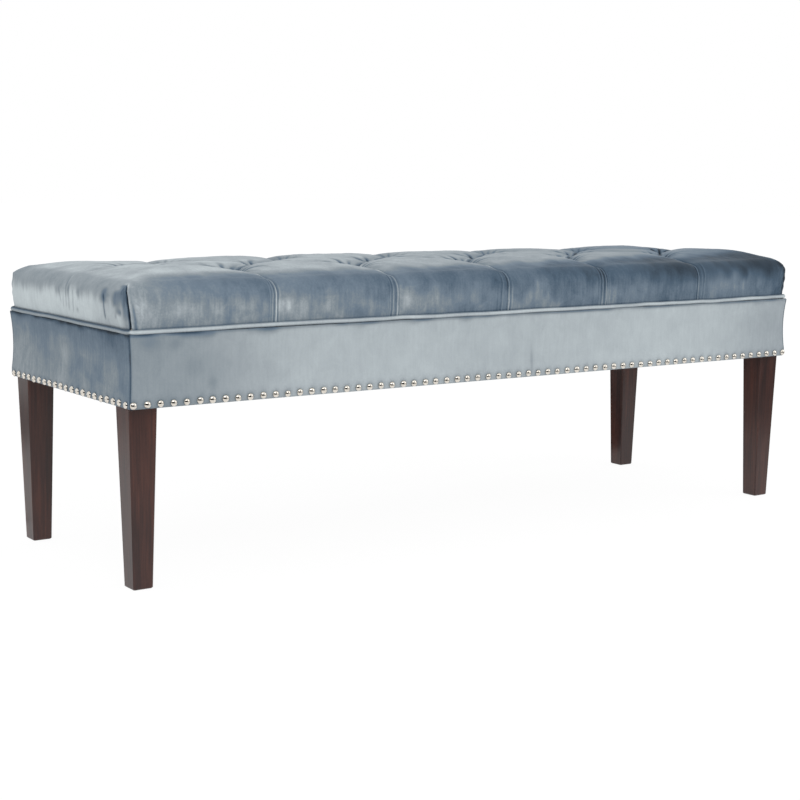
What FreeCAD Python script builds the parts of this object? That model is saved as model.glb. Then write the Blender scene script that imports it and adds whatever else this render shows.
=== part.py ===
import FreeCAD, Part
import math
import os

# Upholstered bench: a tufted velvet seat on a padded apron frame with four tapered legs.
# X runs along the length, Y to the back, Z up. The origin is on the floor, under the middle of the seat.
# All sizes are in millimetres.

# The whole bench
bench_length = 1370.0          # over the apron's two ends
bench_depth = 454.0            # over the apron's front and back
apron_bottom = 273.0           # height of the apron's bottom edge, where the legs start
seam_height = 389.0            # height of the seam between apron and seat, and of the deck's top

# Legs
leg_top_width = 45.6
leg_foot_width = 32.2
leg_end_inset = 5.2            # from the apron's end face to the leg's top
leg_side_inset = 13.5          # from the apron's front face to the leg's top
leg_edge_chamfer = 1.5
foot_chamfer = 1.5

# Frame and deck
rail_thickness = 12.0
brace_thickness = 18.0
brace_height = 60.0
brace_spread = 570.0           # between the two cross braces
deck_thickness = 12.0
block_leg = 75.0               # along each rail
block_tip = 14.0               # width of the block's blunt tips
block_clearance = 34.0         # from the block's top to the deck

# Leg and block fasteners
bolt_diameter = 8.0
bolt_in_leg = 35.0
bolt_in_block = 23.0
insert_diameter = 12.0
insert_length = 25.0
screw_diameter = 4.0
screw_head_diameter = 8.0
screw_head_height = 3.0
screw_length = 30.0
screw_in_block = 20.0          # wood left under the screw's head
screw_from_corner = 58.0
counterbore_clearance = 0.5    # on the radius, round the screws' heads
blind_depth = 0.5              # left beyond the end of a screw, bolt or insert
bore_clearance = 0.1           # on the radius, round bolts, inserts and screws

# Apron
panel_thickness = 5.0          # at the panel's top edge
panel_waist = 3.0              # how far the panel draws in at its waist
waist_height = 50.0            # above the apron's bottom edge
nail_strip_height = 14.0       # flat strip for the nails
nail_strip_inset = 2.6
panel_corner_radius = 4.0
wrap_thickness = 3.0           # velvet folded under the rails
padding_thickness = 3.0

# Nails
nail_radius = 5.4
nail_height = 3.2
nail_pitch = 21.5
nail_rise = 6.5                # centre above the apron's bottom edge
nail_corner_margin = 9.0       # centre of the last nail to the corner
nail_sides = 8
nail_crown = 0.55              # width of the head's crown, as a share of its rim

# Piping
piping_diameter = 8.0
piping_corner_radius = 14.0
piping_sides = 8

# Seat cover
seat_side_inset = 1.0          # from the apron's face to the seat side's widest line
seat_draw_in = 4.0             # how far the sides pull in at the seam
seat_side_height = 39.0        # from the seam to where the top edge starts to roll
edge_roll = 24.0               # radius of the rolled top edge
corner_tightening = 0.7        # how much of the roll's radius is lost as it goes round a corner
belly_share = 0.25             # draw-in left half way up the side, as a share of that at the seam
plan_corner_radius = 16.0
cover_side_thickness = 4.0     # at the seam
cover_top_height = 47.0        # underside of the cover's top, above the seam
batting_thickness = 8.0
soft_gap = 0.3                 # between one soft layer and the next

# Tufts
tuft_pitch = 228.3             # along the length
tuft_row = 113.0               # from the middle row to an outer row
outer_tufts = 5                # in the front row and in the back row
pit_height = 57.0              # bottom of the pleats at a tuft, above the seam
pit_floor_height = 54.0        # seat of the button, above the seam
pleat_lift = 10.0              # how far a pleat rises half way between two tufts
pleat_width = 6.0
puff_slope = 0.115             # rise of a full puff, as a share of its width
pleat_swell = 0.05             # swell left at a pleat, as a share of the full one
edge_puff_rise = 23.0
crease_draw_in = 3.5           # how far a pleat pulls the side in
crease_drop = 4.0              # how far a pleat pulls the top edge down
end_pleat_lift = 6.0
end_swell = 0.25               # swell left at the bench's ends, as a share of the full one
belly_runs = 2                 # straight runs up the belly of a side
roll_runs = 5                  # round the rolled top edge
puff_runs = 8                  # across each puff
pit_radius = 10.5

# Buttons, twines and toggles
button_radius = 10.0
button_rim = 2.0
button_height = 7.0
button_shoulder = (0.75, 0.7)  # shares of the radius and of the dome's height
button_crown = 0.35            # share of the radius
twine_diameter = 2.0
twine_hole = 4.0               # across the deck's bores
twine_slit = 2.6               # across the slits in the soft layers
small_sides = 8                # sides of bores, bolts, screws and buttons, few because they repeat
toggle_length = 30.0
toggle_width = 8.0
toggle_thickness = 5.0

# Dust cover
dust_thickness = 1.0
dust_edge_inset = 12.0
dust_leg_clearance = 1.0
staple_length = 10.0
staple_width = 1.0
staple_thickness = 0.7
staple_pitch = 60.0
staple_inset = 5.0             # from the dust cover's edge

# Places that follow from the sizes above
half_length = bench_length / 2
half_depth = bench_depth / 2
frame_inset = panel_thickness + padding_thickness
rail_bottom = apron_bottom + wrap_thickness
rail_top = seam_height - deck_thickness
block_top = rail_top - block_clearance
panel_top = seam_height - piping_diameter / 2 - soft_gap
frame_x = half_length - frame_inset
frame_y = half_depth - frame_inset
inner_x = frame_x - rail_thickness
inner_y = frame_y - rail_thickness
leg_x = half_length - leg_end_inset - leg_top_width / 2
leg_y = half_depth - leg_side_inset - leg_top_width / 2
seat_x = half_length - seat_side_inset
seat_y = half_depth - seat_side_inset
cavity_x = seat_x - seat_draw_in - cover_side_thickness
cavity_y = seat_y - seat_draw_in - cover_side_thickness
cavity_top = seam_height + cover_top_height
corners = [(side, face) for side in (-1, 1) for face in (-1, 1)]
flatness = 1e-6                # four points this close to one plane get one face


def vec(x, y, z):
    return FreeCAD.Vector(x, y, z)


def box(x0, x1, y0, y1, z0, z1):
    return Part.makeBox(x1 - x0, y1 - y0, z1 - z0, vec(x0, y0, z0))


def line(a, b):
    return Part.LineSegment(a, b).toShape()


def arc(a, middle, b):
    return Part.Arc(a, middle, b).toShape()


def arc_points(a, middle, b, count):
    """Points on an arc that cut it into this many straight runs, without its last point."""
    return arc(a, middle, b).discretize(count + 1)[:-1]


def prism(points, height):
    """Upright prism on a closed outline of points that lie at one height."""
    outline = Part.makePolygon(points + [points[0]])
    return Part.Face(outline).extrude(vec(0, 0, height))


def round_ring(x, y, radius, height):
    turns = [2 * math.pi * (index + 0.5) / small_sides for index in range(small_sides)]
    return [vec(x + radius * math.cos(turn), y + radius * math.sin(turn), height) for turn in turns]


def rod(radius, length, start, direction=None):
    """Straight rod with a few flat sides that touch its round outline."""
    shape = prism(round_ring(0, 0, radius / math.cos(math.pi / small_sides), 0), length)
    if direction is not None:
        shape.Placement = FreeCAD.Placement(vec(0, 0, 0), FreeCAD.Rotation(vec(0, 0, 1), direction))
    return shape.translated(start)


def flat_face(points):
    return Part.Face(Part.makePolygon(points + [points[0]]))


def side_faces(a, b, c, d):
    """One flat face on four corners, or two on the higher fold where they don't lie in one plane."""
    normal = (b - a).cross(c - a)
    if abs(normal.dot(d - a)) < flatness * normal.Length:
        return [flat_face([a, b, c, d])]
    if a.z + c.z > b.z + d.z:
        return [flat_face([a, b, c]), flat_face([a, c, d])]
    return [flat_face([a, b, d]), flat_face([b, c, d])]


def faceted(rings):
    """Loft with flat faces through rings that turn the same way, with as many points each."""
    faces = [flat_face(rings[0][::-1]), flat_face(rings[-1])]
    count = len(rings[0])
    for lower, upper in zip(rings, rings[1:]):
        for index in range(count):
            after = (index + 1) % count
            faces += side_faces(lower[index], lower[after], upper[after], upper[index])
    return Part.makeSolid(Part.makeShell(faces))


def half_turn(shape):
    """The same piece on the opposite side of the bench."""
    turned = shape.copy()
    turned.rotate(vec(0, 0, 0), vec(0, 0, 1), 180)
    return turned


def save(node, shape):
    shape.exportStep("parts/" + node + ".step")
    print(node, len(shape.Solids), "solids", round(shape.Volume), "mm3", shape.isValid())


# Where the tufts are: outer rows on the columns, the middle row half way between them

def tuft_places():
    places = []
    for row in (-tuft_row, tuft_row):
        for column in range(outer_tufts):
            places.append(((column - (outer_tufts - 1) / 2) * tuft_pitch, row))
    for column in range(outer_tufts + 1):
        places.append(((column - outer_tufts / 2) * tuft_pitch, 0.0))
    return places


def pierce_tufts(shape, width, bottom, top):
    """Cut one small square hole through a layer for each tufting twine."""
    half = width / 2
    slits = [box(x - half, x + half, y - half, y + half, bottom, top) for x, y in tuft_places()]
    return shape.cut(Part.makeCompound(slits))


# Seat cover

def roll_drop(distance, radius):
    """How far a rolled edge has fallen at this distance from the edge."""
    reach = max(0.0, radius - distance)
    return radius - math.sqrt(radius * radius - reach * reach)


def puff(share):
    """Swell of a puff, from almost nothing at a pleat to 1 at its middle, as a quarter circle."""
    return pleat_swell + (1 - pleat_swell) * math.sqrt(1 - (1 - share) ** 2)


def cover_section(x, side, share, pleat_y, pleat_z, swell):
    """One outline across the seat: bottom, two sides, two rolled edges and three puffs."""
    from_end = seat_x - abs(x)
    drop = roll_drop(from_end, edge_roll)
    narrow = roll_drop(from_end, plan_corner_radius)
    roll = edge_roll - corner_tightening * drop
    pull = 1 - swell
    bottom = seam_height + soft_gap
    edge_z = seam_height + seat_side_height + edge_roll - drop - crease_drop * pull
    side_y = seat_y - narrow - crease_draw_in * pull
    seam_y = seat_y - narrow - seat_draw_in
    side_z = edge_z - roll
    lean = seat_draw_in / (edge_z - bottom) if from_end == 0 else 0.0

    def point(y, z):
        return vec(x - side * lean * (edge_z - z), y, z)

    valley_z = pleat_z - drop
    diagonal = roll * math.sqrt(0.5)
    edge_y = side_y - roll
    between_y = (edge_y + pleat_y) / 2
    between_z = (edge_z + valley_z) / 2 + edge_puff_rise * share
    half = []
    for face in (-1, 1):
        seam = point(face * seam_y, bottom)
        belly = point(face * (side_y - belly_share * seat_draw_in), (bottom + side_z) / 2)
        shoulder = point(face * side_y, side_z)
        bend = point(face * (edge_y + diagonal), side_z + diagonal)
        edge = point(face * edge_y, edge_z)
        crest = point(face * between_y, between_z)
        pleat = point(face * pleat_y, valley_z)
        half.append((seam, belly, shoulder, bend, edge, crest, pleat))
    front, back = half
    middle = point(0, valley_z + 2 * pleat_y * puff_slope)
    arcs = [
        (front[0], front[1], front[2], belly_runs),
        (front[2], front[3], front[4], roll_runs),
        (front[4], front[5], front[6], puff_runs),
        (front[6], middle, back[6], puff_runs),
        (back[6], back[5], back[4], puff_runs),
        (back[4], back[3], back[2], roll_runs),
        (back[2], back[1], back[0], belly_runs),
    ]
    ring = []
    for arc_ends in arcs:
        ring += arc_points(*arc_ends)
    return ring + [back[0]]


def tufted_section(x):
    """Outline at a place that lies between the outermost tufts of the middle row."""
    phase = (x / tuft_pitch) % 1.0
    across = 2 * min(phase, 1 - phase)
    pleat_y = tuft_row * (1 - across) + pleat_width / 2 * across
    pleat_z = seam_height + pit_height + pleat_lift * math.sin(math.pi * across)
    return cover_section(x, 0, puff(across), pleat_y, pleat_z, puff(across))


def end_section(x):
    """Outline beyond the outermost tufts, where one straight pleat runs to the end."""
    last_tuft = outer_tufts / 2 * tuft_pitch
    away = (abs(x) - last_tuft) / (seat_x - last_tuft)
    swell = end_swell + (1 - end_swell) * puff(1 - away)
    pleat_z = seam_height + pit_height + end_pleat_lift * away
    return cover_section(x, math.copysign(1, x), swell, pleat_width / 2, pleat_z, 1.0)


def section_places():
    """Places along the seat, and from there to its right end, closest together where the form turns most."""
    columns = [(column - (outer_tufts - 1) / 2) * tuft_pitch for column in range(outer_tufts)]
    last_tuft = outer_tufts / 2 * tuft_pitch
    tufted = []
    for column in columns:
        for share in (-1.0, -0.6, -0.3, -0.1, 0.0, 0.1, 0.3, 0.6):
            tufted.append(column + share * tuft_pitch / 2)
    tufted.append(last_tuft)
    end = [(last_tuft + seat_x - edge_roll) / 2]
    for step in range(roll_runs + 1):
        end.append(seat_x - edge_roll * (1 - math.sin(math.pi / 2 * step / roll_runs)))
    return tufted, end


def make_seat_cover():
    """Velvet over wadding: a loft through outlines across the seat, hollow below, with button seats."""
    tufted, end = section_places()
    sections = [end_section(-x) for x in reversed(end)]
    sections += [tufted_section(x) for x in tufted]
    sections += [end_section(x) for x in end]
    cover = faceted(sections)
    cavity = box(-cavity_x, cavity_x, -cavity_y, cavity_y, seam_height, cavity_top)
    seats = []
    floor = seam_height + pit_floor_height
    for x, y in tuft_places():
        seats.append(rod(pit_radius, edge_roll, vec(x, y, floor)))
    cover = cover.cut(cavity).cut(Part.makeCompound(seats))
    return pierce_tufts(cover, twine_slit, seam_height, floor + twine_slit)


def layer_box(inset, bottom, top):
    return box(-cavity_x + inset, cavity_x - inset, -cavity_y + inset, cavity_y - inset, bottom, top)


def make_batting():
    """Batting cap that wraps the foam's top and sides."""
    outer = layer_box(soft_gap, seam_height, cavity_top - soft_gap)
    inner = layer_box(soft_gap + batting_thickness, seam_height, cavity_top - soft_gap - batting_thickness)
    return pierce_tufts(outer.cut(inner), twine_slit, seam_height, cavity_top)


def make_foam():
    top = cavity_top - 2 * soft_gap - batting_thickness
    foam = layer_box(2 * soft_gap + batting_thickness, seam_height, top)
    return pierce_tufts(foam, twine_slit, seam_height, cavity_top)


def make_deck():
    deck = box(-frame_x, frame_x, -frame_y, frame_y, rail_top, seam_height)
    return pierce_tufts(deck, twine_hole, rail_top, seam_height)


def make_buttons():
    """Covered buttons: a short rim under a low dome."""
    floor = seam_height + pit_floor_height
    shoulder = button_rim + (button_height - button_rim) * button_shoulder[1]
    steps = ((1.0, 0.0), (1.0, button_rim), (button_shoulder[0], shoulder), (button_crown, button_height))
    buttons = []
    for x, y in tuft_places():
        buttons.append(faceted([
            round_ring(x, y, button_radius * share, floor + height) for share, height in steps]))
    return Part.makeCompound(buttons)


def make_twines():
    """From each button's back down through the layers to its toggle."""
    length = seam_height + pit_floor_height - rail_top
    half = twine_diameter / 2
    return Part.makeCompound([
        box(x - half, x + half, y - half, y + half, rail_top, rail_top + length) for x, y in tuft_places()])


def make_toggles():
    bars = []
    for x, y in tuft_places():
        bars.append(box(x - toggle_length / 2, x + toggle_length / 2, y - toggle_width / 2,
                        y + toggle_width / 2, rail_top - toggle_thickness, rail_top))
    return Part.makeCompound(bars)


def make_piping():
    """One closed round cord with quarter turns at the four corners."""
    away = piping_diameter / 2 + soft_gap
    x = seat_x - seat_draw_in + away
    y = seat_y - seat_draw_in + away
    r = piping_corner_radius
    z = seam_height
    cut = r * (1 - math.sqrt(0.5))
    edges = []
    for sx, sy in ((1, -1), (1, 1), (-1, 1), (-1, -1)):
        before = vec(sx * x, sy * (y - r), z)
        after = vec(sx * (x - r), sy * y, z)
        corner = vec(sx * (x - cut), sy * (y - cut), z)
        if sx == sy:
            edges.append((before, corner, after))
        else:
            edges.append((after, corner, before))
    path = []
    for index, turn in enumerate(edges):
        path.append(arc(*turn))
        path.append(line(turn[2], edges[(index + 1) % 4][0]))
    start = edges[0][0]
    ring = []
    for index in range(piping_sides + 1):
        turn = 2 * math.pi * (index % piping_sides + 0.5) / piping_sides
        ring.append(start + vec(0, math.cos(turn), math.sin(turn)) * (piping_diameter / 2))
    profile = Part.makePolygon(ring)
    spine = Part.Wire(path)
    cord = spine.makePipeShell([profile], True, False)
    print("piping length", round(spine.Length), "volume over section", round(
        cord.Volume / Part.Face(profile).Area))
    return cord


# Apron

def apron_profile(reach):
    """Section of an apron panel, with its face out at this distance from the bench's middle."""
    def at(distance, height):
        return vec(0, -distance, height)

    strip = reach - nail_strip_inset
    back = reach - panel_thickness
    inner = back - padding_thickness - rail_thickness
    r = panel_corner_radius
    turn = r * (1 - math.sqrt(0.5))
    edges = [
        arc(at(reach, panel_top), at(reach - panel_waist, apron_bottom + waist_height),
            at(strip, apron_bottom + nail_strip_height)),
        line(at(strip, apron_bottom + nail_strip_height), at(strip, apron_bottom + r)),
        arc(at(strip, apron_bottom + r), at(strip - turn, apron_bottom + turn), at(strip - r, apron_bottom)),
        line(at(strip - r, apron_bottom), at(inner, apron_bottom)),
        line(at(inner, apron_bottom), at(inner, rail_bottom)),
        line(at(inner, rail_bottom), at(back, rail_bottom)),
        line(at(back, rail_bottom), at(back, panel_top)),
        line(at(back, panel_top), at(reach, panel_top)),
    ]
    return Part.Face(Part.Wire(edges))


def make_apron_panel(half_run, reach):
    """Front panel for a run of this half length, mitred at both corner seams."""
    inner = panel_thickness + padding_thickness + rail_thickness
    band = apron_profile(reach).extrude(vec(2 * half_run, 0, 0)).translated(vec(-half_run, 0, 0))
    mitre = prism([
        vec(-half_run, -reach, apron_bottom),
        vec(half_run, -reach, apron_bottom),
        vec(half_run - inner, inner - reach, apron_bottom),
        vec(inner - half_run, inner - reach, apron_bottom),
    ], panel_top - apron_bottom)
    return band.common(mitre)


def make_padding(half_run, reach, over_corner):
    end = half_run - (panel_thickness if over_corner else frame_inset)
    return box(-end, end, panel_thickness - reach, frame_inset - reach, rail_bottom, panel_top)


def make_nails(half_run, reach):
    """A row of domed heads seated on the panel's flat strip."""
    span = 2 * (half_run - nail_corner_margin)
    gaps = round(span / nail_pitch)
    seat = reach - nail_strip_inset
    rings = []
    for radius, height in ((nail_radius, 0.0), (nail_radius * nail_crown, nail_height)):
        ring = []
        for index in range(nail_sides):
            angle = 2 * math.pi * (index + 0.5) / nail_sides
            ring.append(vec(radius * math.cos(angle), -seat - height, radius * math.sin(angle)))
        rings.append(ring)
    head = faceted(rings)
    heads = []
    for index in range(gaps + 1):
        x = -span / 2 + index * span / gaps
        heads.append(head.translated(vec(x, 0, apron_bottom + nail_rise)))
    return Part.makeCompound(heads)


# Frame

def front_rail():
    return box(-frame_x, frame_x, -frame_y, -inner_y, rail_bottom, rail_top)


def left_rail():
    return box(-frame_x, -inner_x, -inner_y, inner_y, rail_bottom, rail_top)


def screw_lines(side, face):
    """Seat and direction of the two screws that hold one corner block."""
    height = (apron_bottom + block_top) / 2
    to_long_rail = (vec(side * (inner_x - screw_from_corner), face * (inner_y - screw_in_block), height),
                    vec(0, face, 0))
    to_end_rail = (vec(side * (inner_x - screw_in_block), face * (inner_y - screw_from_corner), height),
                   vec(side, 0, 0))
    return (to_long_rail, to_end_rail)


def screw_bore(seat, direction):
    return rod(screw_diameter / 2 + bore_clearance, screw_length + blind_depth, seat, direction)


def bore_for_screws(rail):
    for side, face in corners:
        for seat, direction in screw_lines(side, face):
            rail = rail.cut(screw_bore(seat, direction))
    return rail


def make_corner_block(side, face):
    """Glue block in the frame's corner, blunt at its tips, bored for the leg's insert and its screws."""
    plan = [
        vec(side * inner_x, face * inner_y, apron_bottom),
        vec(side * (inner_x - block_leg), face * inner_y, apron_bottom),
        vec(side * (inner_x - block_leg), face * (inner_y - block_tip), apron_bottom),
        vec(side * (inner_x - block_tip), face * (inner_y - block_leg), apron_bottom),
        vec(side * inner_x, face * (inner_y - block_leg), apron_bottom),
    ]
    block = prism(plan, block_top - apron_bottom)
    seat = vec(side * leg_x, face * leg_y, apron_bottom)
    depth = insert_length + blind_depth
    block = block.cut(rod(insert_diameter / 2 + bore_clearance, depth, seat))
    counterbore = screw_head_diameter / 2 + counterbore_clearance
    for start, direction in screw_lines(side, face):
        block = block.cut(screw_bore(start, direction))
        block = block.cut(rod(counterbore, block_leg, start, -direction))
    return block


def make_block_screws():
    screws = []
    for side, face in corners:
        for seat, direction in screw_lines(side, face):
            shank = rod(screw_diameter / 2, screw_length, seat, direction)
            screws.append(shank.fuse(rod(screw_head_diameter / 2, screw_head_height, seat, -direction)))
    return Part.makeCompound(screws)


def make_brace(side):
    x = side * brace_spread / 2
    half = brace_thickness / 2
    return box(x - half, x + half, -inner_y, inner_y, rail_top - brace_height, rail_top)


# Legs

def make_leg(side, face):
    """Square leg that tapers on all four sides, with eased edges and a small chamfer at the foot."""
    foot = leg_foot_width / 2
    ease = leg_edge_chamfer
    rings = []
    for half, height in ((foot - foot_chamfer, 0.0), (foot, foot_chamfer), (leg_top_width / 2, apron_bottom)):
        flat = half - ease
        ring = [(half, -flat), (half, flat), (flat, half), (-flat, half)]
        ring += [(-half, flat), (-half, -flat), (-flat, -half), (flat, -half)]
        rings.append([vec(x, y, height) for x, y in ring])
    depth = bolt_in_leg + blind_depth
    bore = rod(bolt_diameter / 2 + bore_clearance, depth, vec(0, 0, apron_bottom - depth))
    return faceted(rings).cut(bore).translated(vec(side * leg_x, face * leg_y, 0))


def make_hanger_bolts():
    length = bolt_in_leg + bolt_in_block
    bolts = []
    for side, face in corners:
        start = vec(side * leg_x, face * leg_y, apron_bottom - bolt_in_leg)
        bolts.append(rod(bolt_diameter / 2, length, start))
    return Part.makeCompound(bolts)


def make_inserts():
    """Threaded sleeves in the corner blocks, which the hanger bolts turn into."""
    sleeves = []
    for side, face in corners:
        start = vec(side * leg_x, face * leg_y, apron_bottom)
        sleeve = rod(insert_diameter / 2, insert_length, start)
        bore = rod(bolt_diameter / 2 + bore_clearance, insert_length, start)
        sleeves.append(sleeve.cut(bore))
    return Part.makeCompound(sleeves)


# Dust cover

def make_dust_cover():
    """Thin black cloth under the frame, notched round the legs."""
    x = half_length - dust_edge_inset
    y = half_depth - dust_edge_inset
    cover = box(-x, x, -y, y, apron_bottom - dust_thickness, apron_bottom)
    keep_x = leg_x - leg_top_width / 2 - dust_leg_clearance
    keep_y = leg_y - leg_top_width / 2 - dust_leg_clearance
    for side, face in corners:
        notch = box(min(side * keep_x, side * (x + 1)), max(side * keep_x, side * (x + 1)),
                    min(face * keep_y, face * (y + 1)), max(face * keep_y, face * (y + 1)),
                    apron_bottom - dust_thickness, apron_bottom)
        cover = cover.cut(notch)
    return cover


def make_staples():
    """Staple crowns along the dust cover's four edges, between the legs."""
    x = half_length - dust_edge_inset - staple_inset
    y = half_depth - dust_edge_inset - staple_inset
    top = apron_bottom - dust_thickness
    bottom = top - staple_thickness
    long_run = 2 * (leg_x - leg_top_width)
    end_run = 2 * (leg_y - leg_top_width)
    crowns = []
    half = staple_length / 2
    width = staple_width / 2
    gaps = round(long_run / staple_pitch)
    for index in range(gaps + 1):
        place = -long_run / 2 + index * long_run / gaps
        for face in (-1, 1):
            crowns.append(box(place - half, place + half, face * y - width, face * y + width, bottom, top))
    gaps = round(end_run / staple_pitch)
    for index in range(gaps + 1):
        place = -end_run / 2 + index * end_run / gaps
        for side in (-1, 1):
            crowns.append(box(side * x - width, side * x + width, place - half, place + half, bottom, top))
    return Part.makeCompound(crowns)


def turned_to_end(shape):
    """A front piece made for the short run, turned to the left end."""
    turned = shape.copy()
    turned.rotate(vec(0, 0, 0), vec(0, 0, 1), -90)
    return turned


# Every piece under its own name

names = {(-1, -1): "front_left", (1, -1): "front_right", (-1, 1): "back_left", (1, 1): "back_right"}
for (side, face), corner in names.items():
    save("leg_" + corner, make_leg(side, face))
    save("corner_block_" + corner, make_corner_block(side, face))
save("leg_hanger_bolts", make_hanger_bolts())
save("leg_threaded_inserts", make_inserts())
save("corner_block_screws", make_block_screws())

save("rail_front", bore_for_screws(front_rail()))
save("rail_back", bore_for_screws(half_turn(front_rail())))
save("rail_left", bore_for_screws(left_rail()))
save("rail_right", bore_for_screws(half_turn(left_rail())))
save("cross_brace_left", make_brace(-1))
save("cross_brace_right", make_brace(1))
save("seat_deck", make_deck())

save("foam_block", make_foam())
save("batting_wrap", make_batting())
save("tufted_seat_cover", make_seat_cover())
save("tuft_buttons", make_buttons())
save("tufting_twines", make_twines())
save("tufting_toggles", make_toggles())
save("piping_cord", make_piping())

long_side = (half_length, half_depth)
short_side = (half_depth, half_length)
long_padding = make_padding(*long_side, True)
short_padding = turned_to_end(make_padding(*short_side, False))
save("apron_padding_front", long_padding)
save("apron_padding_back", half_turn(long_padding))
save("apron_padding_left", short_padding)
save("apron_padding_right", half_turn(short_padding))

long_panel = make_apron_panel(*long_side)
short_panel = turned_to_end(make_apron_panel(*short_side))
save("apron_panel_front", long_panel)
save("apron_panel_back", half_turn(long_panel))
save("apron_panel_left", short_panel)
save("apron_panel_right", half_turn(short_panel))

long_nails = make_nails(*long_side)
short_nails = turned_to_end(make_nails(*short_side))
save("apron_nails_front", long_nails)
save("apron_nails_back", half_turn(long_nails))
save("apron_nails_left", short_nails)
save("apron_nails_right", half_turn(short_nails))

save("dust_cover", make_dust_cover())
save("dust_cover_staples", make_staples())
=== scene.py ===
import math
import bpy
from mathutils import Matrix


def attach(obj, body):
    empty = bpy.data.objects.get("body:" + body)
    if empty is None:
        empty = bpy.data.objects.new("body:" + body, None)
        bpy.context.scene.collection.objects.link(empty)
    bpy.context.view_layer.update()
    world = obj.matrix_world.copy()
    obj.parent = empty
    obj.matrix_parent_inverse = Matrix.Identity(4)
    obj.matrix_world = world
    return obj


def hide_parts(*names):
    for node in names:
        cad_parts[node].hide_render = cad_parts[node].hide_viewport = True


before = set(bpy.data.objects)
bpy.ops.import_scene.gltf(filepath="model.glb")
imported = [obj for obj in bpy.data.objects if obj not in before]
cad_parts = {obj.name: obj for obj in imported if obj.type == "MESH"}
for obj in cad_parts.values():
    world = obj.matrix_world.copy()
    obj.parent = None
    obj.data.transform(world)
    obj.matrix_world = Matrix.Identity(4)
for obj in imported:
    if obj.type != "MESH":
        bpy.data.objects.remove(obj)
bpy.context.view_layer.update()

from types import SimpleNamespace
import bpy
import numpy as np
from mathutils import Matrix, Vector

# Tufted velvet bench. Sizes in the dictionaries are millimetres, X along the bench, Y to the back, Z up.


print("frame loaded,", len(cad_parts), "nodes")


def linearColour(hexText):
    channels = [int(hexText[i:i + 2], 16) / 255 for i in (1, 3, 5)]
    return tuple(c / 12.92 if c <= 0.04045 else ((c + 0.055) / 1.055) ** 2.4 for c in channels) + (1.0,)


def newObject(name, data):
    piece = bpy.data.objects.new(name, data)
    bpy.context.scene.collection.objects.link(piece)
    return piece


def setInputs(node, values):
    for name, value in values.items():
        node.inputs[name].default_value = value


def addNode(tree, kind, fixed=None, values=None, links=None):
    node = tree.nodes.new("ShaderNode" + kind)
    for name, value in (fixed or {}).items():
        setattr(node, name, value)
    setInputs(node, values or {})
    for name, source in (links or {}).items():
        tree.links.new(source, node.inputs[name])
    return node


def newMaterial(name):
    material = bpy.data.materials.new(name)
    material.use_nodes = True
    tree = material.node_tree
    return material, tree, tree.nodes["Principled BSDF"]


def finishSurface(tree, shader, tone, stops, height, strength, depth, values):
    # base colour along the stops by a tone, relief of a depth in metres by a height, then the shader's own values
    ramp = addNode(tree, "ValToRGB", None, None, {"Fac": tone})
    elements = ramp.color_ramp.elements
    while len(elements) < len(stops):
        elements.new(0.5)
    for element, (place, hexText) in zip(elements, stops):
        element.position = place
        element.color = linearColour(hexText)
    tree.links.new(ramp.outputs["Color"], shader.inputs["Base Color"])
    relief = addNode(tree, "Bump", None, {"Strength": strength, "Distance": depth}, {"Height": height})
    tree.links.new(relief.outputs["Normal"], shader.inputs["Normal"])
    setInputs(shader, values)


def softStep(low, high, x):
    t = np.clip((x - low) / (high - low), 0, 1)
    return t * t * (3 - 2 * t)


def bump(x, width):
    return np.exp(-(x / width) ** 2)


def drift(x, y, cell, seed):
    # smooth random field from -1 to 1, the same on every run
    table = np.random.default_rng(seed).uniform(-1, 1, (64, 64))
    gx, gy = x / cell + 512.3, y / cell + 512.7
    ix, iy = np.floor(gx).astype(int), np.floor(gy).astype(int)
    fx, fy = gx - ix, gy - iy
    fx, fy = fx * fx * (3 - 2 * fx), fy * fy * (3 - 2 * fy)
    a, b = table[ix % 64, iy % 64], table[(ix + 1) % 64, iy % 64]
    c, d = table[ix % 64, (iy + 1) % 64], table[(ix + 1) % 64, (iy + 1) % 64]
    return (a * (1 - fx) + b * fx) * (1 - fy) + (c * (1 - fx) + d * fx) * fy


def waver(x, y, layers):
    # random fields laid over each other: strength, cell, seed, and y's share, 0 where only x counts
    return sum(strength * drift(x, y * share, cell, seed) for strength, cell, seed, share in layers)


def ridgeLines(s, lines):
    # ridges and grooves side by side across a fold: height, place and width of each
    return sum(height * bump(s - place, width) for height, place, width in lines)


def blend(first, second, share):
    return first + (second - first) * share


def tableAt(x, table):
    return np.interp(x, *zip(*table))


def stations(reach, step, fineStep, fineWidth, centres):
    # places from -reach to reach, closer together round the centres
    t = np.linspace(-reach, reach, 30001)
    density = np.full_like(t, 1 / step)
    for centre in centres:
        density = np.maximum(density, 1 / step + (1 / fineStep - 1 / step) * np.exp(-((t - centre) / fineWidth) ** 4))
    total = np.concatenate([[0], np.cumsum((density[1:] + density[:-1]) / 2 * np.diff(t))])
    return np.interp(np.linspace(0, total[-1], int(total[-1]) + 1), total, t)


def meshPiece(name, points, faces, material, napAndShade=None, brush=None):
    # the last two: how pale the pile lies at each point, with painted shade and highlights laid in, and how strongly it
    # is brushed there
    mesh = bpy.data.meshes.new(name)
    mesh.from_pydata((np.asarray(points) * 0.001).tolist(), [], faces)
    mesh.validate()
    mesh.polygons.foreach_set("use_smooth", [True] * len(mesh.polygons))
    for mark, values in (("napAndShade", napAndShade), ("brush", brush)):
        if values is not None:
            layer = mesh.attributes.new(mark, "FLOAT", "POINT")
            layer.data.foreach_set("value", np.asarray(values, np.float32))
    mesh.materials.append(material)
    mesh.update()
    return newObject(name, mesh)


def gridFaces(rows, columns, wrapColumns=False):
    last = columns if wrapColumns else columns - 1
    return [(a + j, a + columns + j, a + columns + (j + 1) % columns, a + (j + 1) % columns)
            for a in range(0, (rows - 1) * columns, columns) for j in range(last)]


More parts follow.
